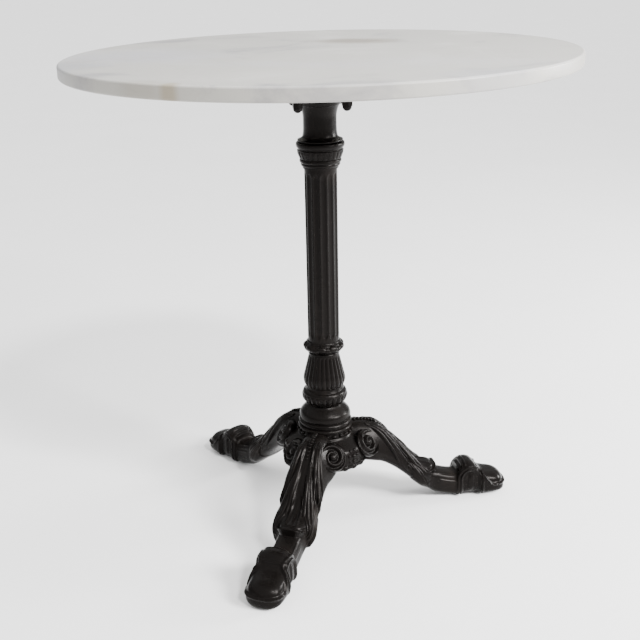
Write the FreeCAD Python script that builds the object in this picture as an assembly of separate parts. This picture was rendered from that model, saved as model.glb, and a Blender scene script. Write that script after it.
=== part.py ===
import FreeCAD, Part
import math
import os

# Bistro table: a round marble top on a cast-iron column with three scrolled legs.
# Millimetres, +Z up, the origin on the floor under the middle of the column.

os.makedirs("parts", exist_ok=True)

V = FreeCAD.Vector
AXIS = V(0, 0, 1)

# Marble top
TOP_R = 350.0
TOP_HIGH = 705.0
TOP_THICK = 18.0
TOP_LOW = TOP_HIGH - TOP_THICK
TOP_EASE = 3.0

# Cast spider under the marble
PAD_THICK = 2.0
ARM_TOP = TOP_LOW - PAD_THICK
ARM_REACH = 172.0
ARM_SCREW_R = 150.0
ARM_ANGLES = [25.3 + 90.0 * i for i in range(4)]
PLATE_LOW = 653.0
PLATE_HIGH = 664.0
PLATE_R = 60.0
PLATE_HOLE_R = 24.0

# Bolts from the spider down through the flange of the column
FLANGE_R = 58.0
FLANGE_LOW = 645.0
BOLT_CIRCLE_R = 47.7
BOLT_ANGLES = [70.3 + 90.0 * i for i in range(4)]
M8 = 4.0
M8_HOLE = 4.4

# Column
ROD_R = 6.0
COLUMN_BORE = 7.0
SPIGOT_R = 15.0
SPIGOT_GAP = 0.2
SPIGOT_LONG = 4.0
NECK_LOW = 583.0
CAPITAL_LOW = 546.0
SHAFT_LOW = 286.0
SHAFT_R = 23.5
SHAFT_BORE = 16.0
FLUTES = 14
COLLAR_LOW = 268.0
VASE_LOW = 210.0
RING_LOW = 183.0
BELL_LOW = 155.0
HUB_HIGH = 144.0

# Hub
HUB_LOW = 84.0
HUB_FLAT = 36.0
LEG_SLOT_HALF = 26.3
SLOT_WALL = 7.5
POCKET_IN = 40.0
POCKET_OUT = 58.0
POCKET_HIGH = 108.0
HUB_CAVITY_R = 24.0
HUB_ROOF = 131.0
LEG_BOLT_HEIGHTS = [98.0, 119.0]
BOLT_SEAT_R = 26.5
SEAT_HALF = 9.5

# Legs
LEGS = [("front", 270.0), ("right", 30.0), ("left", 150.0)]
LEG_GAP = 0.3
LEG_ROOT_HALF = 25.5
LEG_HIGH = 143.5
VOLUTE_AT = (62.5, 33.0, 123.5)
VOLUTE_FACE = (0.58, 0.60, 0.55)
VOLUTE_R = 21.0
VOLUTE_DEEP = 16.0
FOOT_R = 247.0
TOE_R = 294.3

# Levelling glides
PAD_R = 13.0
PAD_HIGH = 6.0
STUD_HIGH = 30.0
SOLE = 1.5


def polar(radius, degrees, z=0.0):
    a = math.radians(degrees)
    return V(radius * math.cos(a), radius * math.sin(a), z)


def spin(shape, degrees):
    turned = shape.copy()
    turned.rotate(V(0, 0, 0), AXIS, degrees)
    return turned


def cyl(radius, low, high, at=None):
    base = V(at.x, at.y, low) if at else V(0, 0, low)
    return Part.makeCylinder(radius, high - low, base)


def lathe(profile):
    """Turn a list of (radius, z) points round the column axis."""
    pts = [V(0, 0, profile[0][1])]
    pts += [V(r, 0, z) for r, z in profile]
    pts += [V(0, 0, profile[-1][1]), V(0, 0, profile[0][1])]
    face = Part.Face(Part.makePolygon(pts))
    return face.revolve(V(0, 0, 0), AXIS, 360)


def hexagon(across_flats, low, high, at, bore=0.0):
    r = across_flats / math.sqrt(3)
    pts = [V(at.x, at.y, low) + polar(r, 60 * i) for i in range(7)]
    prism = Part.Face(Part.makePolygon(pts)).extrude(V(0, 0, high - low))
    return prism.cut(cyl(bore, low - 1, high + 1, at)) if bore else prism


def washer(outer, bore, low, high, at):
    return cyl(outer, low, high, at).cut(cyl(bore, low - 1, high + 1, at))


def save(name, shapes):
    shapes = shapes if isinstance(shapes, list) else [shapes]
    solids = []
    for shape in shapes:
        solids += shape.removeSplitter().Solids
    for solid in solids:
        assert solid.isValid() and solid.Volume > 0, name
    out = solids[0] if len(solids) == 1 else Part.makeCompound(solids)
    out.exportStep("parts/" + name + ".step")
    print(name, len(solids), round(sum(s.Volume for s in solids) / 1000.0, 1), "cm3")


def marble_top():
    top = cyl(TOP_R, TOP_LOW, TOP_HIGH)
    top = top.makeFillet(TOP_EASE, [e for e in top.Edges if len(e.Vertexes) == 1])
    for angle in ARM_ANGLES:
        top = top.cut(cyl(5.0, TOP_LOW - 1, TOP_LOW + 12.0, polar(ARM_SCREW_R, angle)))
    return top


def top_fixings():
    inserts = []
    screws = []
    pads = []
    for angle in ARM_ANGLES:
        at = polar(ARM_SCREW_R, angle)
        insert = cyl(5.0, TOP_LOW, TOP_LOW + 11.0, at)
        inserts.append(insert.cut(cyl(3.05, TOP_LOW - 1, TOP_LOW + 10.0, at)))
        screw = cyl(3.0, ARM_TOP - 11.0, TOP_LOW + 8.0, at)
        screws.append(screw.fuse(cyl(5.0, ARM_TOP - 14.3, ARM_TOP - 11.0, at)))
        pads.append(washer(10.0, 4.0, ARM_TOP, TOP_LOW, at))
    return inserts, screws, pads


def top_spider():
    body = cyl(PLATE_R, PLATE_LOW, PLATE_HIGH)
    for angle in ARM_ANGLES:
        side = [(PLATE_HOLE_R + 4, PLATE_LOW), (PLATE_R, PLATE_LOW), (ARM_REACH - 8, ARM_TOP - 11),
                (ARM_REACH, ARM_TOP - 11), (ARM_REACH, ARM_TOP), (PLATE_HOLE_R + 4, ARM_TOP)]
        pts = [V(x, -12, z) for x, z in side]
        arm = Part.Face(Part.makePolygon(pts + pts[:1])).extrude(V(0, 24, 0))
        arm = arm.cut(cyl(3.4, ARM_TOP - 30, ARM_TOP + 1, V(ARM_SCREW_R, 0, 0)))
        arm = arm.cut(cyl(6.0, ARM_TOP - 30, ARM_TOP - 11, V(ARM_SCREW_R, 0, 0)))
        body = body.fuse(spin(arm, angle))
    body = body.cut(cyl(PLATE_HOLE_R, PLATE_LOW - 1, ARM_TOP + 1))
    for angle in BOLT_ANGLES:
        body = body.cut(cyl(M8_HOLE, PLATE_LOW - 1, PLATE_HIGH + 1, polar(BOLT_CIRCLE_R, angle)))
    return body


def flange_fixings():
    bolts = []
    washers = []
    nuts = []
    for angle in BOLT_ANGLES:
        at = polar(BOLT_CIRCLE_R, angle)
        shank = cyl(M8, FLANGE_LOW - 12.0, PLATE_HIGH, at)
        bolts.append(shank.fuse(hexagon(13.0, PLATE_HIGH, PLATE_HIGH + 5.3, at)))
        under = FLANGE_LOW - 1.6
        washers.append(washer(8.0, 4.2, under, FLANGE_LOW, at))
        nut = hexagon(13.0, under - 8.0, under, at)
        dome = Part.makeSphere(6.4, V(at.x, at.y, under - 8.8))
        dome = dome.common(cyl(7.0, under - 15.4, under - 7.0, at))
        nut = nut.fuse(dome).cut(cyl(M8 + 0.05, under - 12.0, under + 1, at))
        nuts.append(nut)
    return bolts, washers, nuts


def socket(piece, at_z):
    return piece.cut(cyl(SPIGOT_R + SPIGOT_GAP, at_z - SPIGOT_LONG - 0.5, at_z + 1))


def spigot(piece, at_z):
    return piece.fuse(cyl(SPIGOT_R, at_z - SPIGOT_LONG, at_z + 1))


def bored(piece, low, high):
    return piece.cut(cyl(COLUMN_BORE, low - 10, high + 10))


def column_neck():
    piece = lathe([(28.0, NECK_LOW), (31.5, 586), (27.5, 588), (24.7, 591), (23.5, 598),
                   (23.5, 619), (24.8, 626), (27.8, 633.5), (30.0, 637), (42.0, FLANGE_LOW),
                   (FLANGE_R, FLANGE_LOW), (FLANGE_R, PLATE_LOW)])
    for angle in BOLT_ANGLES:
        piece = piece.cut(cyl(M8_HOLE, FLANGE_LOW - 1, PLATE_LOW + 1, polar(BOLT_CIRCLE_R, angle)))
        piece = piece.cut(cyl(9.0, FLANGE_LOW - 20, FLANGE_LOW, polar(BOLT_CIRCLE_R, angle)))
    return bored(spigot(piece, NECK_LOW), NECK_LOW, PLATE_LOW)


def capital():
    piece = lathe([(25.6, CAPITAL_LOW), (25.6, 549), (27.6, 552), (29.3, 557), (29.0, 560),
                   (29.7, 563), (31.9, 566), (32.9, 569), (32.9, 572), (32.4, 574),
                   (33.1, 577), (34.2, 580), (34.2, NECK_LOW)])
    piece = socket(piece, NECK_LOW)
    piece = piece.fuse(cyl(SHAFT_BORE - SPIGOT_GAP, CAPITAL_LOW - SPIGOT_LONG, CAPITAL_LOW + 1))
    return bored(piece, CAPITAL_LOW, NECK_LOW)


def fluted_shaft():
    shaft = cyl(SHAFT_R, SHAFT_LOW, CAPITAL_LOW)
    groove_r = 3.4
    for i in range(FLUTES):
        at = polar(SHAFT_R + 1.7, 360.0 * i / FLUTES)
        groove = cyl(groove_r, SHAFT_LOW + 8, CAPITAL_LOW - 8, at)
        shaft = shaft.cut(groove)
    return shaft.cut(cyl(SHAFT_BORE, SHAFT_LOW - 1, CAPITAL_LOW + 1))


def leaf_collar():
    piece = lathe([(22.9, COLLAR_LOW), (24.4, 270), (27.8, 272.5), (30.2, 276), (30.4, 279),
                   (28.2, 283), (25.6, SHAFT_LOW)])
    piece = piece.fuse(cyl(SHAFT_BORE - SPIGOT_GAP, SHAFT_LOW - 1, SHAFT_LOW + SPIGOT_LONG))
    return bored(spigot(piece, COLLAR_LOW), COLLAR_LOW, SHAFT_LOW)


def vase_section():
    piece = lathe([(27.8, VASE_LOW), (28.9, 214), (30.5, 217), (31.2, 222), (31.0, 227),
                   (29.4, 234), (27.9, 240), (26.3, 247), (24.4, 254), (22.9, 261),
                   (22.4, 265), (22.8, COLLAR_LOW)])
    return bored(spigot(socket(piece, COLLAR_LOW), VASE_LOW), VASE_LOW, COLLAR_LOW)


def gadroon_ring():
    piece = lathe([(26.2, RING_LOW), (29.1, 187), (31.7, 190), (33.5, 194), (34.0, 198),
                   (32.8, 204), (30.0, 207), (28.0, VASE_LOW)])
    return bored(spigot(socket(piece, VASE_LOW), RING_LOW), RING_LOW, VASE_LOW)


def bell_base():
    piece = lathe([(40.0, BELL_LOW), (39.0, 158), (38.6, 160), (38.7, 166), (37.8, 170),
                   (35.2, 173), (32.1, 177), (28.8, 180), (26.4, RING_LOW)])
    return bored(spigot(socket(piece, RING_LOW), BELL_LOW), BELL_LOW, RING_LOW)


def hub_collar():
    piece = lathe([(40.5, HUB_HIGH), (41.6, 146), (41.6, 149), (39.5, 151), (39.0, BELL_LOW)])
    return bored(spigot(socket(piece, BELL_LOW), HUB_HIGH), HUB_HIGH, BELL_LOW)


def hub_skirt(gap=0.0):
    """The outside of the hub, or with a gap the room the legs keep clear of it."""
    return lathe([(64.0 + gap, HUB_LOW + 8), (66.5 + gap, 98), (65.0 + gap, 108), (63.5 + gap, 115),
                  (60.5 + gap, 121.5), (55.0 + gap, 126.5), (48.0 + gap, 130.5), (42.2 + gap, 135),
                  (41.0 + gap, HUB_HIGH)])


def leg_slot(width):
    return Part.makeBox(60, width, 90, V(HUB_FLAT, -width / 2, HUB_LOW - 10))


def hub():
    skirt = hub_skirt().fuse(cyl(HUB_FLAT + 2, HUB_LOW, HUB_LOW + 10))
    pocket = cyl(POCKET_OUT, HUB_LOW - 1, POCKET_HIGH).cut(cyl(POCKET_IN, HUB_LOW - 2, POCKET_HIGH + 1))
    for name, angle in LEGS:
        skirt = skirt.cut(spin(leg_slot(2 * LEG_SLOT_HALF), angle))
        pocket = pocket.cut(spin(leg_slot(2 * (LEG_SLOT_HALF + SLOT_WALL)), angle))
    skirt = skirt.cut(pocket)
    skirt = skirt.cut(cyl(HUB_CAVITY_R, HUB_LOW - 1, HUB_ROOF))
    for name, angle in LEGS:
        for z in LEG_BOLT_HEIGHTS:
            hole = Part.makeCylinder(M8_HOLE, 60, V(10, 0, z), V(1, 0, 0))
            skirt = skirt.cut(spin(hole, angle))
            start = V(BOLT_SEAT_R - 10.0, -SEAT_HALF, z - SEAT_HALF)
            seat = Part.makeBox(10, 2 * SEAT_HALF, 2 * SEAT_HALF, start)
            skirt = skirt.cut(spin(seat, angle))
    return bored(socket(skirt, HUB_HIGH), HUB_ROOF, HUB_HIGH)


def leg_outline():
    """Side view of a leg: the top line from hub to toe, then the underside back to the hub."""
    top = [(HUB_FLAT, LEG_HIGH), (52, LEG_HIGH), (66, 141), (78, 136), (92, 123), (108, 105.5),
           (124, 87.5), (140, 70), (155, 60), (164, 57.5), (174, 58.5), (178, 56)]
    ankle = [(178, 56), (181, 47), (192, 42.5), (209, 39)]
    foot = [(209, 39), (214, 50), (221, 55), (232, 57), (242, 52), (248, 43), (256, 38),
            (268, 35), (280, 31), (288, 24), (293, 12), (292, SOLE)]
    under = [(200, SOLE), (188, 5), (165, 19), (147, 32), (125, 51), (101, 70),
             (84, 82), (64, 92), (HUB_FLAT, 90)]
    edges = []
    for line in (top, ankle, foot, under):
        curve = Part.BSplineCurve()
        curve.interpolate([V(r, 0, z) for r, z in line])
        edges.append(curve.toShape())
    edges.insert(3, Part.makeLine(V(292, 0, SOLE), V(200, 0, SOLE)))
    edges.append(Part.makeLine(V(HUB_FLAT, 0, 90), V(HUB_FLAT, 0, LEG_HIGH)))
    return Part.Face(Part.Wire(edges))


def leg_plan():
    """Half widths of a leg seen from above: narrow in the hub, wide at the scrolls, then the foot."""
    back = HUB_FLAT - 1
    root = [(back, LEG_ROOT_HALF), (50, LEG_ROOT_HALF), (56, 40)]
    half = [(56, 40), (66, 42), (82, 37), (100, 34.5), (120, 33.5), (136, 32), (152, 30.5),
            (172, 29.5), (184, 21), (206, 21), (218, 27), (240, 28.4), (262, 27.5), (278, 24),
            (287, 18)]
    toe = Part.Arc(V(287, 18, 0), V(TOE_R, 0, 0), V(287, -18, 0)).toShape()
    edges = [toe, Part.makeLine(V(back, -LEG_ROOT_HALF, 0), V(back, LEG_ROOT_HALF, 0))]
    for side in (1, -1):
        curve = Part.BSplineCurve()
        curve.interpolate([V(x, side * y, 0) for x, y in half])
        edges.append(curve.toShape())
        edges += Part.makePolygon([V(x, side * y, 0) for x, y in root]).Edges
    return Part.Face(Part.Wire(Part.__sortEdges__(edges)))


def volute_boss(side):
    """The drum behind one scroll, leaning out, forward and up."""
    x, y, z = VOLUTE_AT
    face = V(VOLUTE_FACE[0], side * VOLUTE_FACE[1], VOLUTE_FACE[2]).normalize()
    start = V(x, side * y, z) - face * VOLUTE_DEEP
    return Part.makeCylinder(VOLUTE_R, VOLUTE_DEEP, start, face)


def flank_waste(side):
    """The wedge taken off a leg's flank so that it narrows downward under the scroll."""
    corners = [(18, 150), (51, 150), (51, 92), (18, 150)]
    wedge = Part.Face(Part.makePolygon([V(52, side * y, z) for y, z in corners]))
    return wedge.extrude(V(100, 0, 0))


def leg():
    outline = leg_outline()
    outline.translate(V(0, -60, 0))
    body = outline.extrude(V(0, 120, 0))
    body = body.common(leg_plan().extrude(V(0, 0, 200)))
    for side in (1, -1):
        body = body.cut(flank_waste(side)).fuse(volute_boss(side))
    body = body.cut(hub_skirt(LEG_GAP).cut(leg_slot(2 * LEG_ROOT_HALF + LEG_GAP)))
    # room for the collar that sits on the hub
    body = body.cut(cyl(44.0, HUB_HIGH - 0.5, 160.0))
    for z in LEG_BOLT_HEIGHTS:
        body = body.cut(Part.makeCylinder(M8 + 0.05, 26, V(HUB_FLAT - 1, 0, z), V(1, 0, 0)))
    body = body.cut(cyl(PAD_R + 1.0, -1, PAD_HIGH + 2.0, V(FOOT_R, 0, 0)))
    return body.cut(cyl(M8 + 0.05, -1, STUD_HIGH + 6.0, V(FOOT_R, 0, 0)))


def leg_fixings():
    bolts = []
    washers = []
    for name, angle in LEGS:
        for z in LEG_BOLT_HEIGHTS:
            under_head = BOLT_SEAT_R - 1.6
            ring = Part.makeCylinder(8.0, 1.6, V(under_head, 0, z), V(1, 0, 0))
            ring = ring.cut(Part.makeCylinder(4.2, 9, V(BOLT_SEAT_R - 5, 0, z), V(1, 0, 0)))
            washers.append(spin(ring, angle))
            shank = Part.makeCylinder(M8, 32, V(under_head, 0, z), V(1, 0, 0))
            head = hexagon(13.0, 0, 5.3, V(0, 0, 0))
            head.rotate(V(0, 0, 0), V(0, 1, 0), -90)
            head.translate(V(under_head, 0, z))
            bolts.append(spin(shank.fuse(head), angle))
    return bolts, washers


def tie_rod():
    low = HUB_ROOF - 18.0
    high = PLATE_LOW + 16.0
    rod = cyl(ROD_R, low, high)
    parts = {"tie_rod": rod}
    zero = V(0, 0, 0)
    parts["tie_rod_top_washer"] = washer(12.0, 6.3, PLATE_LOW, PLATE_LOW + 2.5, zero)
    parts["tie_rod_top_nut"] = hexagon(18.0, PLATE_LOW + 2.5, PLATE_LOW + 12.5, zero, ROD_R + 0.05)
    parts["tie_rod_bottom_washer"] = washer(12.0, 6.3, HUB_ROOF - 2.5, HUB_ROOF, zero)
    parts["tie_rod_bottom_nut"] = hexagon(18.0, HUB_ROOF - 12.5, HUB_ROOF - 2.5, zero, ROD_R + 0.05)
    return parts


def glide_pad():
    pad = cyl(PAD_R, 0, PAD_HIGH)
    pad = pad.cut(cyl(M8 + 0.05, 2.0, PAD_HIGH + 1))
    pad.translate(V(FOOT_R, 0, 0))
    return pad


def glide_stud():
    return cyl(M8, 2.0, STUD_HIGH, V(FOOT_R, 0, 0))


save("marble_top", marble_top())
inserts, screws, pads = top_fixings()
save("top_inserts", inserts)
save("arm_screws", screws)
save("arm_pads", pads)
save("top_spider", top_spider())
flange_bolts, flange_washers, dome_nuts = flange_fixings()
save("flange_bolts", flange_bolts)
save("flange_washers", flange_washers)
save("dome_nuts", dome_nuts)
save("column_neck", column_neck())
save("capital", capital())
save("fluted_shaft", fluted_shaft())
save("leaf_collar", leaf_collar())
save("vase_section", vase_section())
save("gadroon_ring", gadroon_ring())
save("bell_base", bell_base())
save("hub_collar", hub_collar())
save("hub", hub())
leg_bolts, leg_washers = leg_fixings()
save("leg_bolts", leg_bolts)
save("leg_washers", leg_washers)
for node, shape in tie_rod().items():
    save(node, shape)
for name, angle in LEGS:
    save("leg_" + name, spin(leg(), angle))
    save("glide_pad_" + name, spin(glide_pad(), angle))
    save("glide_stud_" + name, spin(glide_stud(), angle))
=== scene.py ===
import math
import bmesh
import bpy
from mathutils import Matrix, Vector


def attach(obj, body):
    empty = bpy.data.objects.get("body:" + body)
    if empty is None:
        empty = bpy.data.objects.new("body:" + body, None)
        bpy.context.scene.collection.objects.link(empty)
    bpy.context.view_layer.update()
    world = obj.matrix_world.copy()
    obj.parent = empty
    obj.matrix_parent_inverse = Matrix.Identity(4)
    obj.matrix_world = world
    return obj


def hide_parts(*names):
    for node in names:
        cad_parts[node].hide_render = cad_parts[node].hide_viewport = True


# A marble-topped bistro table on a black cast-iron column with three scrolled legs.
# Shapes are worked out in millimetres and scaled to metres when a mesh is made.

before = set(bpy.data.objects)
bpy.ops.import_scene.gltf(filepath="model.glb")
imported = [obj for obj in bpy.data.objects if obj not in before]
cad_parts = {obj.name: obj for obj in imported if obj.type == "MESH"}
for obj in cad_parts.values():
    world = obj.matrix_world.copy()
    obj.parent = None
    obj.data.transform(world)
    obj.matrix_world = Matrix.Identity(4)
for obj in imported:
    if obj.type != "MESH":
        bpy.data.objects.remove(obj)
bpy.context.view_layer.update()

MM = 0.001
BODY = "table"
LEG_ANGLES = {"front": 270.0, "right": 30.0, "left": 150.0}


# ---------------------------------------------------------------- mesh helpers

def smoothstep(low, high, x):
    t = min(1.0, max(0.0, (x - low) / (high - low)))
    return t * t * (3.0 - 2.0 * t)


def bump(x, centre, width):
    return math.exp(-((x - centre) / width) ** 2)


def catmull(points, steps):
    """Points along a smooth curve through the given ones, each a tuple of numbers."""
    out = []
    last = len(points) - 1
    for i in range(last):
        a = points[max(i - 1, 0)]
        b = points[i]
        c = points[i + 1]
        d = points[min(i + 2, last)]
        for k in range(steps):
            t = k / steps
            out.append(tuple(
                0.5 * (2 * q + (r - p) * t + (2 * p - 5 * q + 4 * r - s) * t * t
                       + (3 * q - p - 3 * r + s) * t * t * t)
                for p, q, r, s in zip(a, b, c, d)))
    out.append(tuple(points[-1]))
    return out


class Shell:
    """Vertices in millimetres and faces, gathered for one mesh."""

    def __init__(self):
        self.verts = []
        self.faces = []

    def tube(self, rows):
        """A closed skin over rings of equal length, each end closed with a fan."""
        start = len(self.verts)
        n = len(rows[0])
        faces = []
        for row in rows:
            self.verts += [tuple(p) for p in row]
        for i in range(len(rows) - 1):
            for j in range(n):
                k = (j + 1) % n
                a = start + i * n
                b = a + n
                faces.append((a + j, a + k, b + k, b + j))
        for ring, turn in ((0, True), (len(rows) - 1, False)):
            first = start + ring * n
            centre = [sum(p[axis] for p in rows[ring]) / n for axis in range(3)]
            self.verts.append(tuple(centre))
            mid = len(self.verts) - 1
            for j in range(n):
                k = (j + 1) % n
                tri = (first + j, first + k, mid)
                faces.append(tri[::-1] if turn else tri)
        self.faces += faces

    def ball(self, at, size, frame_axes=None):
        """An egg-shaped bead of the given half sizes."""
        ex, ey, ez = frame_axes or (Vector((1, 0, 0)), Vector((0, 1, 0)), Vector((0, 0, 1)))
        at = Vector(at)
        rows = []
        for i in range(1, 12):
            polar = math.pi * i / 12 - math.pi / 2
            row = []
            for j in range(18):
                turn = 2 * math.pi * j / 18
                p = at + ex * (size[0] * math.cos(polar) * math.cos(turn))
                p += ey * (size[1] * math.cos(polar) * math.sin(turn)) + ez * (size[2] * math.sin(polar))
                row.append(p)
            rows.append(row)
        self.tube(rows)

    def add(self, other, move):
        start = len(self.verts)
        self.verts += [tuple(move @ Vector(v)) for v in other.verts]
        self.faces += [tuple(start + i for i in f) for f in other.faces]

    def mesh(self, name, sharp=40.0):
        data = bpy.data.meshes.new(name)
        data.from_pydata([(x * MM, y * MM, z * MM) for x, y, z in self.verts], [], self.faces)
        work = bmesh.new()
        work.from_mesh(data)
        bmesh.ops.recalc_face_normals(work, faces=work.faces)
        work.to_mesh(data)
        work.free()
        data.polygons.foreach_set("use_smooth", [True] * len(data.polygons))
        data.set_sharp_from_angle(angle=math.radians(sharp))
        data.update()
        return data


def place(name, data, nodes, material, turn=0.0):
    piece = bpy.data.objects.new(name, data)
    bpy.context.scene.collection.objects.link(piece)
    piece.rotation_euler = (0, 0, math.radians(turn))
    if not data.materials:
        data.materials.append(material)
    bpy.context.view_layer.update()
    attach(piece, BODY)
    if nodes:
        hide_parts(*nodes)
    return piece


def turned(segments, swell=None, around=192, step=0.8):
    """A solid of revolution about the column's axis.

    Each segment is a list of (radius, z) run through smoothly, and segments meet at corners.
    swell(angle, z, radius) is added to the radius.
    """
    line = []
    for segment in segments:
        if len(segment) > 2:
            long = max(math.dist(a, b) for a, b in zip(segment, segment[1:]))
            steps = max(2, int(long / step))
        else:
            steps = max(1, int(math.dist(*segment) / (step * 4)))
        points = catmull(segment, steps)
        line += points if not line else points[1:]
    rows = []
    for radius, z in line:
        row = []
        for j in range(around):
            angle = 2 * math.pi * j / around
            r = radius + (swell(angle, z, radius) if swell else 0.0)
            row.append((r * math.cos(angle), r * math.sin(angle), z))
        rows.append(row)
    shell = Shell()
    shell.tube(rows)
    return shell


# ---------------------------------------------------------------- materials

def nodes_of(name):
    material = bpy.data.materials.new(name)
    material.use_nodes = True
    tree = material.node_tree
    return material, tree, tree.nodes["Principled BSDF"]


def noise(tree, where, scale, detail=4.0, rough=0.55, distortion=0.0):
    node = tree.nodes.new("ShaderNodeTexNoise")
    node.inputs["Scale"].default_value = scale
    node.inputs["Detail"].default_value = detail
    node.inputs["Roughness"].default_value = rough
    node.inputs["Distortion"].default_value = distortion
    tree.links.new(where, node.inputs["Vector"])
    return node.outputs["Fac"]


def ramp(tree, source, stops):
    node = tree.nodes.new("ShaderNodeValToRGB")
    band = node.color_ramp
    band.elements[0].position = stops[0][0]
    band.elements[0].color = (*stops[0][1], 1.0)
    band.elements[1].position = stops[-1][0]
    band.elements[1].color = (*stops[-1][1], 1.0)
    for at, colour in stops[1:-1]:
        stop = band.elements.new(at)
        stop.color = (*colour, 1.0)
    tree.links.new(source, node.inputs["Fac"])
    return node.outputs["Color"]


def spread(tree, source, low, high, from_low=0.3, from_high=0.7):
    node = tree.nodes.new("ShaderNodeMapRange")
    node.inputs["From Min"].default_value = from_low
    node.inputs["From Max"].default_value = from_high
    node.inputs["To Min"].default_value = low
    node.inputs["To Max"].default_value = high
    tree.links.new(source, node.inputs["Value"])
    return node.outputs["Result"]


def blend_colours(tree, factor, first, second, mode="MIX"):
    node = tree.nodes.new("ShaderNodeMix")
    node.data_type = "RGBA"
    node.blend_type = mode
    sockets = [s for s in node.inputs if s.enabled]
    for socket, value in zip(sockets, (factor, first, second)):
        if isinstance(value, float):
            socket.default_value = value
        elif isinstance(value, tuple):
            socket.default_value = (*value, 1.0)
        else:
            tree.links.new(value, socket)
    return [s for s in node.outputs if s.enabled][0]


def bump_from(tree, shader, height, strength, distance):
    node = tree.nodes.new("ShaderNodeBump")
    node.inputs["Strength"].default_value = strength
    node.inputs["Distance"].default_value = distance
    tree.links.new(height, node.inputs["Height"])
    tree.links.new(node.outputs["Normal"], shader.inputs["Normal"])


def object_place(tree):
    return tree.nodes.new("ShaderNodeTexCoord").outputs["Object"]


def black_paint(name):
    """Semi-gloss black enamel over a slightly grainy casting, browner where it is rubbed thin."""
    material, tree, shader = nodes_of(name)
    where = object_place(tree)
    broad = noise(tree, where, 16.0, 5.0)
    fine = noise(tree, where, 380.0, 3.0)
    grain = noise(tree, where, 1300.0, 2.0)
    black = (0.0030, 0.0025, 0.0023)
    rubbed = (0.0085, 0.0068, 0.0058)
    colour = ramp(tree, broad, [(0.34, black), (0.56, black), (0.78, rubbed)])
    tree.links.new(colour, shader.inputs["Base Color"])
    tree.links.new(spread(tree, broad, 0.21, 0.31), shader.inputs["Roughness"])
    shader.inputs["IOR"].default_value = 1.15
    shader.inputs["Specular Tint"].default_value = (1.0, 0.94, 0.91, 1.0)
    height = blend_colours(tree, 0.35, fine, grain)
    bump_from(tree, shader, height, 0.25, 0.0007)
    return material


def soft_patch(tree, where, at, size):
    """One inside an ellipsoid, falling to nought outside it across a soft, ragged edge."""
    rag = 1.2
    middle = 1.55
    soft = 0.45
    shift = tree.nodes.new("ShaderNodeVectorMath")
    shift.operation = "SUBTRACT"
    shift.inputs[1].default_value = at
    tree.links.new(where, shift.inputs[0])
    scale = tree.nodes.new("ShaderNodeVectorMath")
    scale.operation = "DIVIDE"
    scale.inputs[1].default_value = size
    tree.links.new(shift.outputs["Vector"], scale.inputs[0])
    far = tree.nodes.new("ShaderNodeVectorMath")
    far.operation = "LENGTH"
    tree.links.new(scale.outputs["Vector"], far.inputs[0])
    ragged = noise(tree, where, 15.0, 7.0, 0.6, 0.6)
    total = tree.nodes.new("ShaderNodeMath")
    total.operation = "MULTIPLY_ADD"
    total.inputs[1].default_value = rag
    tree.links.new(ragged, total.inputs[0])
    tree.links.new(far.outputs["Value"], total.inputs[2])
    return spread(tree, total.outputs["Value"], 1.0, 0.0, middle - soft, middle + soft)


def times(tree, value, factor):
    node = tree.nodes.new("ShaderNodeMath")
    node.operation = "MULTIPLY"
    node.inputs[1].default_value = factor
    tree.links.new(value, node.inputs[0])
    return node.outputs["Value"]


def from_middle(radius, degrees, z=0.70):
    """A point of the slab in metres, the angle measured in the part's frame."""
    a = math.radians(degrees)
    return (radius * math.cos(a), radius * math.sin(a), z)


# Coloured veins in the marble, the grey-blue one on the edge partly painted shade: where, half sizes,
# colour and strength
STAINS_AND_PAINTED_SHADE = [
    (from_middle(0.150, 88.0), (0.060, 0.034, 0.05), (0.25, 0.225, 0.19), 0.90),
    (from_middle(0.250, 198.0), (0.110, 0.090, 0.05), (0.45, 0.45, 0.49), 0.60),
    (from_middle(0.150, 275.0), (0.130, 0.030, 0.05), (0.47, 0.46, 0.47), 0.45),
    (from_middle(0.230, 335.0), (0.120, 0.040, 0.05), (0.47, 0.46, 0.46), 0.45),
    (from_middle(0.350, 260.5), (0.011, 0.014, 0.05), (0.30, 0.25, 0.16), 0.70),
    (from_middle(0.350, 254.0), (0.035, 0.020, 0.05), (0.34, 0.31, 0.26), 0.45),
    # Grey-blue patch on the edge: partly a real stain, partly painted shade darkening that side of the
    # edge.
    (from_middle(0.350, 218.0), (0.050, 0.060, 0.05), (0.33, 0.34, 0.37), 0.60),
    (from_middle(0.350, 322.0), (0.060, 0.050, 0.05), (0.40, 0.40, 0.42), 0.55),
]


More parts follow.
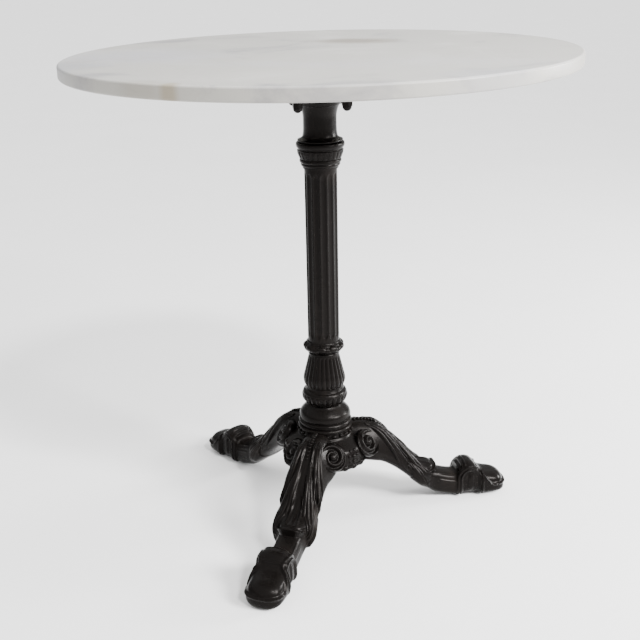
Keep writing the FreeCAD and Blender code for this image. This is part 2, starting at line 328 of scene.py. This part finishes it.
def pale_marble():
    """Grey-white honed marble with soft clouds, thin broken veins, a few coloured stains (the grey-blue
    one on the edge partly painted shade) and painted shade on the upright edge.
    """
    material, tree, shader = nodes_of("honed marble")
    where = object_place(tree)
    cloud = noise(tree, where, 5.2, 8.0, 0.62, 0.9)
    white = (0.450, 0.441, 0.416)
    grey = (0.320, 0.314, 0.318)
    pale = (0.515, 0.506, 0.482)
    colour = ramp(tree, cloud, [(0.34, grey), (0.45, white), (0.55, white), (0.70, pale)])
    # Stains are mixed into the colour; the grey-blue one on the edge is partly painted shade.
    for at, size, tone, strength in STAINS_AND_PAINTED_SHADE:
        patch = soft_patch(tree, where, at, size)
        colour = blend_colours(tree, times(tree, patch, strength), colour, tone)
    vein = noise(tree, where, 6.5, 9.0, 0.62, 1.8)
    line = ramp(tree, vein, [(0.478, (0, 0, 0)), (0.50, (1, 1, 1)), (0.522, (0, 0, 0))])
    mask = spread(tree, noise(tree, where, 2.6, 3.0), 0.0, 0.42, 0.46, 0.64)
    both = tree.nodes.new("ShaderNodeMath")
    both.operation = "MULTIPLY"
    tree.links.new(line, both.inputs[0])
    tree.links.new(mask, both.inputs[1])
    colour = blend_colours(tree, both.outputs["Value"], colour, (0.36, 0.33, 0.31))
    speck = spread(tree, noise(tree, where, 240.0, 2.0), 0.0, 0.10, 0.4, 0.8)
    colour = blend_colours(tree, speck, colour, (0.34, 0.32, 0.31))
    # Painted shade: where the slab faces sideways, its colour is multiplied darker, standing in for the
    # dimmer light on the upright edge.
    facing = tree.nodes.new("ShaderNodeSeparateXYZ")
    tree.links.new(tree.nodes.new("ShaderNodeTexCoord").outputs["Normal"], facing.inputs["Vector"])
    rim = spread(tree, facing.outputs["Z"], 1.0, 0.0, 0.1, 0.9)
    colour = blend_colours(tree, rim, colour, (0.66, 0.65, 0.63), "MULTIPLY")
    tree.links.new(colour, shader.inputs["Base Color"])
    tree.links.new(spread(tree, cloud, 0.36, 0.46), shader.inputs["Roughness"])
    shader.inputs["Specular IOR Level"].default_value = 0.35
    bump_from(tree, shader, noise(tree, where, 700.0, 3.0), 0.05, 0.0003)
    return material


def bare_metal(name, colour, rough):
    material, tree, shader = nodes_of(name)
    where = object_place(tree)
    tone = noise(tree, where, 60.0, 4.0)
    dull = tuple(0.7 * c for c in colour)
    tree.links.new(ramp(tree, tone, [(0.3, dull), (0.7, colour)]), shader.inputs["Base Color"])
    tree.links.new(spread(tree, tone, rough, rough + 0.15), shader.inputs["Roughness"])
    shader.inputs["Metallic"].default_value = 1.0
    bump_from(tree, shader, noise(tree, where, 900.0, 2.0), 0.1, 0.0003)
    return material


def dark_plastic(name, rough):
    material, tree, shader = nodes_of(name)
    where = object_place(tree)
    tone = noise(tree, where, 90.0, 4.0)
    colour = ramp(tree, tone, [(0.3, (0.022, 0.022, 0.022)), (0.7, (0.04, 0.039, 0.037))])
    tree.links.new(colour, shader.inputs["Base Color"])
    tree.links.new(spread(tree, tone, rough, rough + 0.15), shader.inputs["Roughness"])
    bump_from(tree, shader, noise(tree, where, 700.0, 2.0), 0.15, 0.0004)
    return material


PAINT = black_paint("black paint")
MARBLE = pale_marble()
STEEL = bare_metal("zinc plated steel", (0.55, 0.55, 0.53), 0.32)
BRASS = bare_metal("brass", (0.62, 0.46, 0.2), 0.28)
RUBBER = dark_plastic("rubber", 0.7)
NYLON = dark_plastic("nylon", 0.45)


# ---------------------------------------------------------------- marble top

TOP_R = 349.9
TOP_LOW = 687.0
TOP_HIGH = 705.0
TOP_EASE = 3.2


def make_top():
    """The slab, with a quarter round along both edges."""
    flat = TOP_R - TOP_EASE
    bends = [math.radians(90.0 * i / 8) for i in range(9)]
    profile = [(1.0, TOP_LOW), (flat, TOP_LOW)]
    for a in bends[1:]:
        profile.append((flat + TOP_EASE * math.sin(a), TOP_LOW + TOP_EASE - TOP_EASE * math.cos(a)))
    for a in bends:
        profile.append((flat + TOP_EASE * math.cos(a), TOP_HIGH - TOP_EASE + TOP_EASE * math.sin(a)))
    profile.append((1.0, TOP_HIGH))
    around = 384
    rows = []
    for r, z in profile:
        turns = [2 * math.pi * j / around for j in range(around)]
        rows.append([(r * math.cos(a), r * math.sin(a), z) for a in turns])
    shell = Shell()
    shell.tube(rows)
    place("marble_slab", shell.mesh("marble_slab", 35.0), ["marble_top"], MARBLE)


# ---------------------------------------------------------------- column

FLUTES = 14
FLUTE_LOW = 293.0
FLUTE_HIGH = 540.0
FLUTE_DEEP = 1.9


def flute(angle, z, radius):
    """Round-ended flutes down the shaft."""
    part = (angle * FLUTES / (2 * math.pi)) % 1.0 - 0.5
    x = abs(part) / 0.43
    end = 9.0
    top = max(0.0, z - (FLUTE_HIGH - end)) / end
    low = max(0.0, (FLUTE_LOW + end) - z) / end
    span = x * x + top * top + low * low
    return -FLUTE_DEEP * (1.0 - span) ** 0.6 if span < 1.0 else 0.0


def reeds(count, depth, low, high):
    """Upright reeds that fade out at both ends."""
    def swell(angle, z, radius):
        if z < low or z > high:
            return 0.0
        fade = min(1.0, (z - low) / 3.0, (high - z) / 3.0)
        return depth * fade * (abs(math.cos(count * angle / 2)) ** 0.8 - 0.75)
    return swell


def leaves(angle, z, radius):
    """Two rows of nine small leaves round the collar."""
    out = 0.0
    for offset, low, high in ((0.0, 268.5, 281.0), (0.5, 271.0, 285.0)):
        part = (angle * 9 / (2 * math.pi) + offset) % 1.0 - 0.5
        x = abs(part) * 2
        t = (z - low) / (high - low)
        if 0.0 < t < 1.0:
            wide = (1.0 - t ** 3)
            if x < wide:
                body = math.sqrt(max(0.0, 1.0 - (x / wide) ** 2))
                vein = 0.25 * bump(part, 0.0, 0.05)
                out = max(out, 3.6 * body * math.sin(math.pi * min(1.0, t * 0.75 + 0.2)) - vein)
    return out - 0.9


def dentils(angle, z, radius):
    """Twenty-six shallow notches in the capital's band."""
    if 561.0 < z < 571.5:
        fade = min(1.0, (z - 561.0) / 1.0, (571.5 - z) / 1.0)
        return -0.9 * fade * smoothstep(0.1, 0.5, math.sin(26 * angle))
    return 0.0


def make_column():
    """The castings of the column, from the flange down to the collar on the hub."""
    neck = turned([
        [(1.0, 583.0), (28.0, 583.0)],
        [(28.0, 583.0), (31.8, 584.5), (32.0, 586.2)],
        [(32.0, 586.2), (27.5, 588.3), (24.9, 591.2), (23.8, 598.0), (23.5, 608.0), (23.6, 619.0),
         (24.8, 626.0), (26.4, 631.0), (27.9, 634.0)],
        [(27.9, 634.0), (29.2, 634.6), (29.6, 636.0)],
        [(29.6, 636.0), (32.0, 640.0), (38.0, 644.0), (43.0, 645.2)],
        [(43.0, 645.2), (56.5, 645.2)],
        [(56.5, 645.2), (57.6, 645.8), (58.0, 647.0)],
        [(58.0, 647.0), (58.0, 652.9)],
        [(58.0, 652.9), (1.0, 652.9)]])
    place("column_neck_casting", neck.mesh("neck", 32.0), ["column_neck"], PAINT)
    capital = turned([
        [(1.0, 546.0), (25.4, 546.0)],
        [(25.4, 546.0), (25.7, 548.6)],
        [(25.7, 548.6), (27.2, 549.6), (28.0, 551.5), (27.6, 553.4)],
        [(27.6, 553.4), (28.3, 554.0), (29.6, 555.6), (29.6, 558.0), (28.8, 559.6)],
        [(28.8, 559.6), (29.8, 560.8), (31.0, 564.0), (32.4, 568.0), (32.8, 572.0)],
        [(32.8, 572.0), (31.8, 573.0), (31.8, 574.6)],
        [(31.8, 574.6), (33.4, 575.8), (34.4, 578.6), (34.2, 581.6), (33.0, 583.0)],
        [(33.0, 583.0), (1.0, 583.0)]], dentils, 240, 0.5)
    place("capital_casting", capital.mesh("capital", 32.0), ["capital"], PAINT)
    shaft = turned([[(1.0, 286.0), (23.4, 286.0)], [(23.4, 286.0), (23.4, 294.0)],
                    [(23.4, 294.0), (23.4, 304.0), (23.4, 314.0)], [(23.4, 314.0), (23.4, 518.0)],
                    [(23.4, 518.0), (23.4, 530.0), (23.4, 542.0)], [(23.4, 542.0), (23.4, 546.0)],
                    [(23.4, 546.0), (1.0, 546.0)]], flute, 14 * 28, 1.0)
    place("shaft_casting", shaft.mesh("shaft", 28.0), ["fluted_shaft"], PAINT)
    collar = turned([
        [(1.0, 268.0), (22.6, 268.0)],
        [(22.6, 268.0), (23.4, 269.4), (25.4, 271.4), (27.6, 274.4), (28.4, 278.0), (27.6, 281.4),
         (25.8, 283.6)],
        [(25.8, 283.6), (25.8, 284.6), (24.9, 286.0)],
        [(24.9, 286.0), (1.0, 286.0)]], leaves, 240, 0.5)
    place("leaf_collar_casting", collar.mesh("leaf_collar", 40.0), ["leaf_collar"], PAINT)
    vase = turned([
        [(1.0, 210.0), (27.6, 210.0)],
        [(27.6, 210.0), (28.0, 212.5), (29.6, 215.5), (31.3, 221.0), (31.0, 227.5), (29.4, 234.0),
         (27.9, 240.5), (26.3, 247.0), (24.6, 254.0), (23.2, 260.0), (22.4, 264.5)],
        [(22.4, 264.5), (23.6, 265.6), (23.4, 267.0), (22.6, 268.0)],
        [(22.6, 268.0), (1.0, 268.0)]], reeds(24, 1.5, 213.0, 263.0), 24 * 12, 0.8)
    place("vase_casting", vase.mesh("vase", 60.0), ["vase_section"], PAINT)
    ring = turned([
        [(1.0, 183.0), (26.0, 183.0)],
        [(26.0, 183.0), (28.4, 185.6), (31.2, 189.0), (33.6, 193.8), (34.2, 198.2), (33.4, 201.5)],
        [(33.4, 201.5), (33.2, 203.0), (31.6, 205.4), (29.2, 207.0)],
        [(29.2, 207.0), (28.6, 208.4), (27.9, 210.0)],
        [(27.9, 210.0), (1.0, 210.0)]], reeds(24, 1.8, 184.0, 201.0), 24 * 12, 0.6)
    place("gadroon_ring_casting", ring.mesh("gadroon", 60.0), ["gadroon_ring"], PAINT)
    bell = turned([
        [(1.0, 155.0), (39.6, 155.0)],
        [(39.6, 155.0), (40.2, 156.2), (39.0, 158.0)],
        [(39.0, 158.0), (37.4, 158.8), (37.6, 160.2)],
        [(37.6, 160.2), (39.0, 162.0), (38.9, 166.0), (37.6, 170.5), (35.0, 174.0), (31.6, 177.6),
         (28.4, 180.6), (26.4, 183.0)],
        [(26.4, 183.0), (1.0, 183.0)]], None, 192, 0.6)
    place("bell_casting", bell.mesh("bell", 32.0), ["bell_base"], PAINT)
    band = turned([
        [(1.0, 144.0), (38.5, 144.0)],
        [(38.5, 144.0), (40.6, 144.6), (41.5, 146.4), (41.4, 148.4), (40.2, 150.0)],
        [(40.2, 150.0), (37.6, 150.8), (37.6, 152.0)],
        [(37.6, 152.0), (39.4, 153.0), (39.4, 155.0)],
        [(39.4, 155.0), (1.0, 155.0)]], None, 192, 0.5)
    place("collar_casting", band.mesh("collar", 32.0), ["hub_collar"], PAINT)


HUB_PANELS = (90.0, 210.0, 330.0)
HUB_BEADS = 24
# Round bosses of a panel's rosette: across, height, radius
ROSETTE = (
    (0.0, 113.0, 3.8), (-7.6, 113.6, 3.4), (7.6, 113.6, 3.4), (-4.0, 120.2, 3.2), (4.0, 120.2, 3.2),
    (0.0, 105.4, 3.6), (-7.8, 106.0, 3.2), (7.8, 106.0, 3.2),
)
SCALLOPS = (-15.0, 0.0, 15.0)
UP = Vector((0.0, 0.0, 1.0))


def compass(angle):
    """The outward and sideways directions at an angle round the column."""
    return Vector((math.cos(angle), math.sin(angle), 0)), Vector((-math.sin(angle), math.cos(angle), 0))


def make_hub():
    """The hub's hollow skirt with a bead row, and a rosette over scallops between each two legs."""
    skirt = turned([
        [(24.0, 131.0), (24.0, 86.0)],
        [(24.0, 86.0), (24.6, 84.4), (26.0, 84.0)],
        [(26.0, 84.0), (36.0, 84.0)],
        [(36.0, 84.0), (38.0, 90.0), (40.0, 104.0), (44.0, 112.0), (52.0, 110.0), (57.0, 102.0),
         (59.0, 94.0)],
        [(59.0, 94.0), (63.0, 93.6), (65.4, 94.6), (66.6, 97.0), (66.2, 99.6)],
        [(66.2, 99.6), (64.8, 100.6)],
        [(64.8, 100.6), (64.6, 108.0), (63.6, 115.0), (60.6, 121.5), (55.0, 126.5), (48.0, 130.5),
         (43.6, 133.6), (42.2, 135.4)],
        [(42.2, 135.4), (43.0, 136.2), (42.2, 137.4)],
        [(42.2, 137.4), (40.6, 138.0), (40.0, 141.0), (39.4, 144.0)],
        [(39.4, 144.0), (7.0, 144.0)],
        [(7.0, 144.0), (7.0, 131.0)]], None, 192, 0.8)
    # the two end caps are left off, and the last ring is joined to the first down the middle hole
    shell = Shell()
    n = 192
    shell.verts = skirt.verts[:-2]
    rows = len(shell.verts) // n
    for i in range(rows):
        for j in range(n):
            k = (j + 1) % n
            a = i * n
            b = ((i + 1) % rows) * n
            shell.faces.append((a + j, a + k, b + k, b + j))
    for i in range(HUB_BEADS):
        out, side = compass(2 * math.pi * (i + 0.5) / HUB_BEADS)
        size = (2.6, 2.5, 2.5) if i % 2 else (2.6, 4.2, 2.3)
        shell.ball(out * 41.0 + UP * 141.0, size, (out, side, UP))
    for middle in HUB_PANELS:
        out, side = compass(math.radians(middle))
        for across, high, size in ROSETTE:
            radius = 63.6 - max(0.0, high - 112.0) * 0.42 - abs(across) * 0.12
            shell.ball(out * radius + side * across + UP * high, (size, size, size), (out, side, UP))
        for across in SCALLOPS:
            radius = 62.5 - abs(across) * 0.12
            shell.ball(out * radius + side * across + UP * 97.0, (5.0, 6.6, 5.0), (out, side, UP))
    place("hub_casting", shell.mesh("hub", 32.0), ["hub"], PAINT)


# ---------------------------------------------------------------- legs

# Each station: top (r, z), underside (r, z), half width at the top and at the bottom, squareness
STATIONS = [
    (37.0, 146.0, 37.0, 89.0, 18.0, 36.0, 3.6),
    (52.0, 147.5, 56.0, 88.0, 17.0, 44.0, 3.4),
    (66.0, 145.0, 72.0, 84.0, 15.5, 43.0, 3.2),
    (78.0, 140.0, 86.0, 78.5, 16.0, 38.5, 3.0),
    (92.0, 127.0, 103.0, 67.5, 17.5, 36.5, 2.7),
    (108.0, 109.0, 119.0, 54.5, 20.0, 36.0, 2.5),
    (124.0, 90.0, 134.0, 41.0, 21.5, 34.5, 2.4),
    (138.0, 73.8, 146.0, 32.0, 22.5, 32.5, 2.4),
    (150.0, 62.6, 156.0, 24.0, 22.5, 29.5, 2.5),
    (160.0, 55.6, 165.0, 16.5, 21.0, 24.5, 2.7),
    (169.0, 51.4, 174.0, 10.0, 19.4, 21.4, 3.0),
    (178.0, 48.5, 186.0, 6.0, 18.8, 20.8, 3.1),
    (192.0, 43.6, 196.0, 3.2, 18.6, 20.3, 3.2),
    (205.0, 40.5, 206.0, 1.8, 18.8, 20.6, 3.2),
    (210.5, 42.0, 211.0, 1.6, 20.5, 23.5, 3.1),
    (214.5, 50.5, 215.0, 1.6, 22.6, 26.5, 3.0),
    (222.0, 57.4, 222.0, 1.6, 24.0, 28.4, 2.9),
    (231.0, 58.6, 231.0, 1.6, 24.4, 28.6, 2.9),
    (239.0, 54.5, 239.5, 1.6, 24.6, 28.6, 2.9),
    (245.0, 46.5, 246.0, 1.6, 24.6, 28.6, 2.9),
    (253.0, 40.5, 254.0, 1.6, 25.4, 29.4, 3.4),
    (263.0, 37.4, 264.0, 1.6, 25.4, 29.4, 3.2),
    (272.0, 35.6, 273.0, 1.6, 24.8, 28.6, 3.1),
    (279.0, 33.4, 280.0, 1.6, 23.0, 26.8, 3.0),
    (284.5, 30.0, 285.2, 2.0, 19.6, 23.2, 2.8),
    (288.6, 25.0, 288.9, 3.4, 14.4, 18.0, 2.5),
    (290.9, 18.4, 291.0, 6.4, 6.8, 9.0, 2.2),
    (291.6, 13.0, 291.6, 10.6, 0.8, 1.4, 2.0),
]

VOLUTE = (62.5, 33.0, 123.5)
VOLUTE_FACE = (0.58, 0.60, 0.55)
VOLUTE_R = 21.5

# Acanthus leaves on each flank, one above the other. Reach is measured out from the column along
# the top of the leg, and turn runs round the leg from 0 on the ridge to 1 underneath.
# Each leaf: reach and turn at the root, at the tip, half width in turn, height in millimetres
LEAVES = [
    (62.0, 0.16, 120.0, 0.50, 0.20, 4.8),
    (94.0, 0.08, 162.0, 0.46, 0.20, 5.0),
    (122.0, 0.36, 158.0, 0.66, 0.13, 3.4),
]

# Ribs standing on the leaves: root reach and turn, tip reach and turn, greatest radius
RIBS = [
    (60.0, 0.17, 122.0, 0.33, 3.2), (61.0, 0.20, 118.0, 0.46, 3.6), (64.0, 0.24, 106.0, 0.57, 3.2),
    (92.0, 0.09, 165.0, 0.23, 3.0), (94.0, 0.11, 162.0, 0.36, 3.5), (98.0, 0.14, 152.0, 0.49, 3.2),
    (122.0, 0.42, 156.0, 0.60, 2.6), (120.0, 0.48, 146.0, 0.70, 2.4),
]


def leaf_bow(root, tip, t):
    """A leaf leaves its root along the leg and swings outwards towards its tip."""
    return root + (tip - root) * t ** 1.5


def leaf_height(reach, turn):
    total = 0.0
    for root, low, tip, high, half, tall in LEAVES:
        t = (reach - root) / (tip - root)
        if not 0.0 < t < 1.0:
            continue
        wide = half * (0.30 + 0.70 * math.sin(math.pi * min(1.0, 0.10 + 0.80 * t)))
        q = (turn - leaf_bow(low, high, t)) / wide
        if abs(q) < 1.0:
            rise = smoothstep(0.0, 0.25, t) * smoothstep(1.0, 0.93, t)
            hollow = 0.22 * math.cos(3.5 * math.pi * q)
            total = max(total, tall * rise * (0.4 + 0.6 * t) * (1.0 - abs(q) ** 2.6) * (0.85 - hollow))
    return total


def leg_relief(r, z, reach, across, turn):
    """How far the surface stands out, in millimetres, at a point of a leg."""
    out = leaf_height(reach, turn)
    if 60.0 < reach < 166.0:
        fade = smoothstep(60, 70, reach) * smoothstep(166, 156, reach)
        out += 1.5 * fade * bump(across, 7.6, 1.5)
        out -= 0.8 * fade * bump(across, 3.6, 2.6)
    lip = 175.0 - 19.0 * smoothstep(0.08, 0.50, turn)
    soft = 1.8 + 6.0 * smoothstep(0.15, 0.45, turn)
    tall = 9.5 - 5.0 * smoothstep(0.06, 0.32, turn) - 3.5 * smoothstep(0.60, 1.0, turn)
    if 132.0 < r < lip + soft:
        grow = smoothstep(lip - 38.0, lip - 8.0, r)
        drop = smoothstep(lip + soft, lip - soft, r)
        out += tall * grow * drop
        curl = smoothstep(0.40, 0.20, turn)
        out += curl * (1.4 * bump(r, lip - 2.6, 1.7) - 1.0 * bump(r, lip - 7.5, 2.6))
    if 178.0 < r < 212.0:
        fade = smoothstep(178, 184, r) * smoothstep(212, 206, r)
        out += 1.0 * fade * bump(turn, 0.44, 0.022)
        out += 0.8 * fade * bump(turn, 0.24, 0.022)
    if 206.0 < r < 258.0:
        rho = math.hypot(r - 231.0, z - 32.0) if z > 32.0 else abs(r - 231.0)
        side = smoothstep(0.14, 0.22, turn) * smoothstep(0.86, 0.74, turn)
        rim = bump(rho, 19.6, 1.5) + bump(rho, 15.6, 1.1)
        out += 1.9 * rim * side - 2.0 * side * smoothstep(13.8, 11.8, rho)
        out += 1.9 * side * smoothstep(7.0, 2.6, math.hypot(r - 231.0, 0.35 * (z - 26.0)))
        crown = smoothstep(0.24, 0.14, turn)
        ridges = bump(r, 214.0, 1.2) + bump(r, 218.5, 1.2) + bump(r, 223.0, 1.2) + bump(r, 243.0, 1.4)
        out += crown * 1.5 * ridges
    if r > 238.0:
        line = 19.0 + 28.0 * smoothstep(270.0, 238.0, r)
        edge = smoothstep(238.0, 246.0, r)
        out += 2.4 * edge * bump(z, line, 1.5)
        out -= 1.1 * edge * smoothstep(line + 1.5, line + 4.5, z) * smoothstep(0.0, 0.3, turn)
    return out


def volute_shell():
    """One scroll on the flank of a leg that faces +Y, tipped outwards and up."""
    shell = Shell()
    face = Vector(VOLUTE_FACE).normalized()
    inward = Vector((-face.y, face.x, 0.0)).normalized()
    up = face.cross(inward)
    if up.z < 0:
        up = -up
    around = 128
    steps = 64
    pitch = 9.6
    eye_r = 5.4
    middle = Vector(VOLUTE)

    def at(rho, phi, high):
        return middle + inward * (rho * math.cos(phi)) + up * (rho * math.sin(phi)) + face * high

    rows = []
    for i in range(1, steps + 1):
        rho = VOLUTE_R * i / steps
        row = []
        for j in range(around):
            phi = 2 * math.pi * j / around
            k = rho / pitch - phi / (2 * math.pi)
            wave = 0.5 + 0.5 * math.cos(2 * math.pi * (k - 0.5))
            high = -4.2 + 4.8 * wave ** 0.9
            high -= 1.6 * smoothstep(VOLUTE_R - 1.4, VOLUTE_R, rho)
            if rho < eye_r:
                eye = -1.6 + 3.6 * math.sqrt(1 - (rho / 5.5) ** 2)
                high = max(high - 2.0 * smoothstep(eye_r, 3.0, rho), eye)
            row.append(at(rho, phi, high))
        rows.append(row)
    for rim, depth in ((VOLUTE_R + 0.8, -4.0), (VOLUTE_R + 1.2, -8.0), (VOLUTE_R - 3.0, -18.0)):
        rows.append([at(rim, 2 * math.pi * j / around, depth) for j in range(around)])
    shell.tube(rows)
    return shell


RING = 200
STEPS = 14
BACKBONE = catmull(STATIONS, STEPS)


def section_point(station, turn):
    """The point of a leg's bare outline at a station, turned round from the ridge."""
    rt, zt, rb, zb, narrow, broad, square = station
    c = math.cos(math.pi * turn)
    s = math.sin(math.pi * turn)
    power = 2.0 / square
    h = math.copysign(abs(c) ** power, c)
    half = broad + (narrow - broad) * (h + 1.0) / 2.0
    y = half * math.copysign(abs(s) ** power, s)
    return Vector(((rt + rb + (rt - rb) * h) / 2.0, y, (zt + zb + (zt - zb) * h) / 2.0))


def leg_skin():
    """The whole surface of one leg that points along +X, relief included."""
    rows = []
    for station in BACKBONE:
        rows.append([section_point(station, 2.0 * j / RING if j <= RING // 2 else 2.0 * j / RING - 2.0)
                     for j in range(RING)])
    out = []
    count = len(rows)
    for i, station in enumerate(BACKBONE):
        across = [0.0]
        for j in range(1, RING // 2 + 1):
            across.append(across[-1] + (rows[i][j] - rows[i][j - 1]).length)
        middle = sum(rows[i], Vector()) / RING
        row = []
        for j in range(RING):
            p = rows[i][j]
            du = rows[min(i + 1, count - 1)][j] - rows[max(i - 1, 0)][j]
            dv = rows[i][(j + 1) % RING] - rows[i][j - 1]
            normal = dv.cross(du)
            if normal.length < 1e-9:
                row.append(p)
                continue
            normal.normalize()
            if normal.dot(p - middle) < 0:
                normal = -normal
            side = min(j, RING - j)
            row.append(p + normal * leg_relief(p.x, p.z, station[0], across[side], 2.0 * side / RING))
        out.append(row)
    shell = Shell()
    shell.tube(out)
    return shell


def station_at(reach):
    for a, b in zip(BACKBONE, BACKBONE[1:]):
        if a[0] <= reach <= b[0]:
            t = (reach - a[0]) / max(1e-6, b[0] - a[0])
            return tuple(p + (q - p) * t for p, q in zip(a, b))
    return BACKBONE[-1]


def skin_point(reach, turn, lift=0.0):
    """A point of the finished surface and the way it faces."""
    here = section_point(station_at(reach), turn)
    along = section_point(station_at(reach + 0.5), turn) - here
    round_leg = section_point(station_at(reach), turn + 0.004) - here
    normal = along.cross(round_leg).normalized()
    if normal.dot(Vector((0.0, here.y, 1.0))) < 0 and turn < 0.55:
        normal = -normal
    return here + normal * (leaf_height(reach, turn) * 0.9 + lift), normal


def rib(shell, root, low, tip, high, radius):
    """A tapering round rib laid along a leaf."""
    rows = []
    steps = 28
    path = []
    for i in range(steps + 1):
        t = i / steps
        path.append(skin_point(root + (tip - root) * t, leaf_bow(low, high, t)))
    for i, (p, normal) in enumerate(path):
        t = i / steps
        ahead = (path[min(i + 1, steps)][0] - path[max(i - 1, 0)][0]).normalized()
        side = ahead.cross(normal).normalized()
        size = radius * (0.25 + 0.75 * math.sin(math.pi * (0.12 + 0.80 * t)) ** 0.8)
        rows.append([p + side * (size * math.cos(2 * math.pi * j / 12))
                     + normal * (1.05 * size * math.sin(2 * math.pi * j / 12) - 0.10 * size)
                     for j in range(12)])
    shell.tube(rows)


GLIDE_AT = 247.0
RECESS_R = 14.0
RECESS_HIGH = 8.0


def bored_for_glide(data):
    """A leg with the round recess in its sole that the levelling glide sits in."""
    leg = bpy.data.objects.new("leg_blank", data)
    cut = Shell()
    turns = [2 * math.pi * j / 64 for j in range(64)]
    cut.tube([[(GLIDE_AT + RECESS_R * math.cos(a), RECESS_R * math.sin(a), z) for a in turns]
              for z in (-3.0, RECESS_HIGH)])
    tool = bpy.data.objects.new("recess_tool", cut.mesh("recess_tool"))
    for item in (leg, tool):
        bpy.context.scene.collection.objects.link(item)
    change = leg.modifiers.new("recess", "BOOLEAN")
    change.operation = "DIFFERENCE"
    change.solver = "EXACT"
    change.object = tool
    view = bpy.context.evaluated_depsgraph_get()
    result = bpy.data.meshes.new_from_object(leg.evaluated_get(view))
    bpy.data.objects.remove(leg)
    bpy.data.objects.remove(tool)
    return result


def make_legs():
    """Three legs from one mesh, each with its scrolls, ribs and the bead row along its ridge."""
    data = bored_for_glide(leg_skin().mesh("leg", 38.0))
    trim = Shell()
    scroll = volute_shell()
    for line in RIBS:
        rib(scroll, *line)
    trim.add(scroll, Matrix.Identity(4))
    trim.add(scroll, Matrix.Scale(-1, 4, Vector((0, 1, 0))))
    ridge = catmull([(s[0], s[1]) for s in STATIONS[:5]], 20)
    total = sum(math.dist(a, b) for a, b in zip(ridge, ridge[1:]))
    walked = 0.0
    spacing = 5.6
    due = 8.0
    for a, b in zip(ridge, ridge[1:]):
        walked += math.dist(a, b)
        if walked >= due and due < total - 2.0:
            size = 2.8 - 0.7 * due / total
            trim.ball((b[0], 0.0, b[1] + 0.9), (size, size * 1.25, size))
            due += spacing
    ornaments = trim.mesh("leg_ornament", 38.0)
    for name, angle in LEG_ANGLES.items():
        place("leg_casting_" + name, data, ["leg_" + name], PAINT, angle)
        place("leg_scrolls_" + name, ornaments, [], PAINT, angle)


# ---------------------------------------------------------------- CAD pieces that stay visible

def finish_cad_nodes():
    """Materials and shading for the pieces that keep their CAD shape."""
    looks = {"top_spider": PAINT, "dome_nuts": PAINT, "flange_washers": PAINT, "top_inserts": BRASS,
             "arm_pads": RUBBER}
    for name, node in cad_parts.items():
        look = looks.get(name, NYLON if name.startswith("glide_pad") else STEEL)
        node.data.materials.clear()
        node.data.materials.append(look)
        node.data.polygons.foreach_set("use_smooth", [True] * len(node.data.polygons))
        node.data.set_sharp_from_angle(angle=math.radians(30.0))


# ---------------------------------------------------------------- camera, light and floor

CAMERA_AROUND = math.radians(18.5)
CAMERA_PITCH = math.radians(20.21)
CAMERA_YAW = math.radians(-2.18)
CAMERA_ROLL = math.radians(-1.80)
CAMERA_AWAY = 1.442
CAMERA_HIGH = 0.848


def make_camera():
    """Slightly above the top and a little to the right of the front leg."""
    pitch, yaw, roll = CAMERA_PITCH, CAMERA_YAW, CAMERA_ROLL
    ahead = Vector((math.sin(yaw) * math.cos(pitch), math.cos(yaw) * math.cos(pitch), -math.sin(pitch)))
    right = Vector((math.cos(yaw), -math.sin(yaw), 0.0))
    up = right.cross(ahead)
    x = right * math.cos(roll) + up * math.sin(roll)
    y = up * math.cos(roll) - right * math.sin(roll)
    around = Matrix.Rotation(CAMERA_AROUND, 4, "Z")
    pose = Matrix((x, y, -ahead)).transposed().to_4x4()
    pose.translation = Vector((0.0, -CAMERA_AWAY, CAMERA_HIGH))
    camera = bpy.data.objects.new("camera", bpy.data.cameras.new("camera"))
    bpy.context.scene.collection.objects.link(camera)
    camera.matrix_world = around @ pose
    camera.data.sensor_width = 36.0
    camera.data.lens = 58.0
    camera.data.shift_x = 0.0523
    bpy.context.scene.camera = camera


def area_light(name, at, target, size, power):
    data = bpy.data.lights.new(name, "AREA")
    data.shape = "RECTANGLE"
    data.size = size[0]
    data.size_y = size[1]
    data.energy = power
    light = bpy.data.objects.new(name, data)
    bpy.context.scene.collection.objects.link(light)
    light.location = at
    light.rotation_euler = (Vector(target) - Vector(at)).to_track_quat("-Z", "Y").to_euler()


def sun_light(name, toward, power, spread_degrees):
    data = bpy.data.lights.new(name, "SUN")
    data.energy = power
    data.angle = math.radians(spread_degrees)
    light = bpy.data.objects.new(name, data)
    bpy.context.scene.collection.objects.link(light)
    light.rotation_euler = Vector(toward).to_track_quat("Z", "Y").to_euler()


FLOOR_HALF = 60.0


def make_studio():
    """A plain pale floor under a wide soft light, with a window and two soft boxes to the right."""
    w = FLOOR_HALF
    data = bpy.data.meshes.new("floor")
    data.from_pydata([(-w, -w, 0), (w, -w, 0), (w, w, 0), (-w, w, 0)], [], [(0, 1, 2, 3)])
    floor = bpy.data.objects.new("floor", data)
    bpy.context.scene.collection.objects.link(floor)
    material, tree, shader = nodes_of("pale floor")
    tone = noise(tree, object_place(tree), 3.0)
    tree.links.new(ramp(tree, tone, [(0.3, (0.86, 0.86, 0.86)), (0.7, (0.88, 0.88, 0.88))]),
                   shader.inputs["Base Color"])
    shader.inputs["Roughness"].default_value = 0.9
    data.materials.append(material)
    world = bpy.data.worlds.new("studio")
    world.use_nodes = True
    world.node_tree.nodes["Background"].inputs["Color"].default_value = (1.0, 1.0, 1.0, 1.0)
    world.node_tree.nodes["Background"].inputs["Strength"].default_value = 0.60
    bpy.context.scene.world = world
    sun_light("overhead", (0.10, -0.10, 1.0), 3.2, 140.0)
    sun_light("window", (0.80, -0.60, 1.0), 2.8, 9.0)
    area_light("soft box", (2.3, -0.58, 1.55), (0, 0, 0.12), (0.85, 0.8), 185.0)
    area_light("back light", (2.0, 1.35, 0.8), (0, 0, 0.12), (0.6, 0.5), 70.0)


make_top()
make_column()
make_hub()
make_legs()
finish_cad_nodes()
make_camera()
make_studio()
